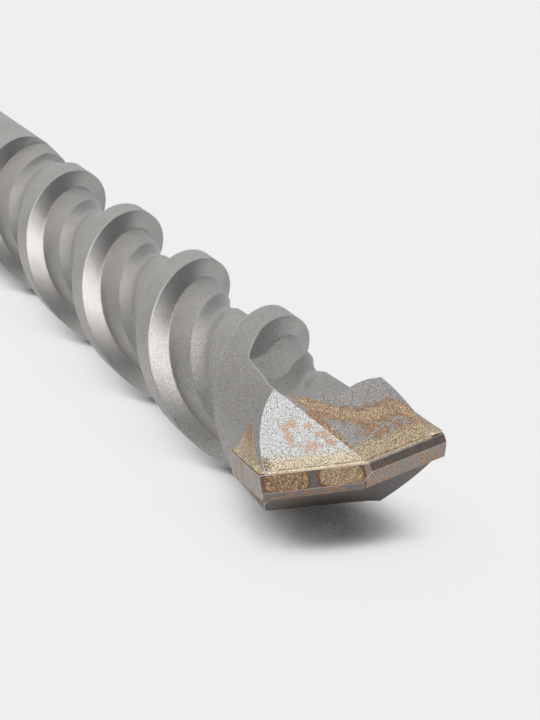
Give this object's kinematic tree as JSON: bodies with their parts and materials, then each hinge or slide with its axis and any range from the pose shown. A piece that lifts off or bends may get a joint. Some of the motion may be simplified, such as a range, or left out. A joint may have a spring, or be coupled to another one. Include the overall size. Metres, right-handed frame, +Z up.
{
  "type": "hammer drill bit",
  "caption": "Hammer drill bit with a slotted round shank, deep screw-shaped flutes and a roof-shaped carbide plate brazed across the tip.",
  "frame": {"origin": "centre of the bounding box at the ground, with the bit lying on its flutes", "axes": "+X along the bit from the shank to the carbide tip, +Z up"},
  "size_m": [0.25, 0.022, 0.0204],
  "materials": {
    "blasted_steel": "matte, grit blasted",
    "carbide": "ground, dark grey",
    "braze": "rough, as brazed"
  },
  "bodies": {
    "root": {"drill_body": "blasted_steel", "carbide_tip": "carbide", "braze_seam": "braze"}
  },
  "joints": []
}
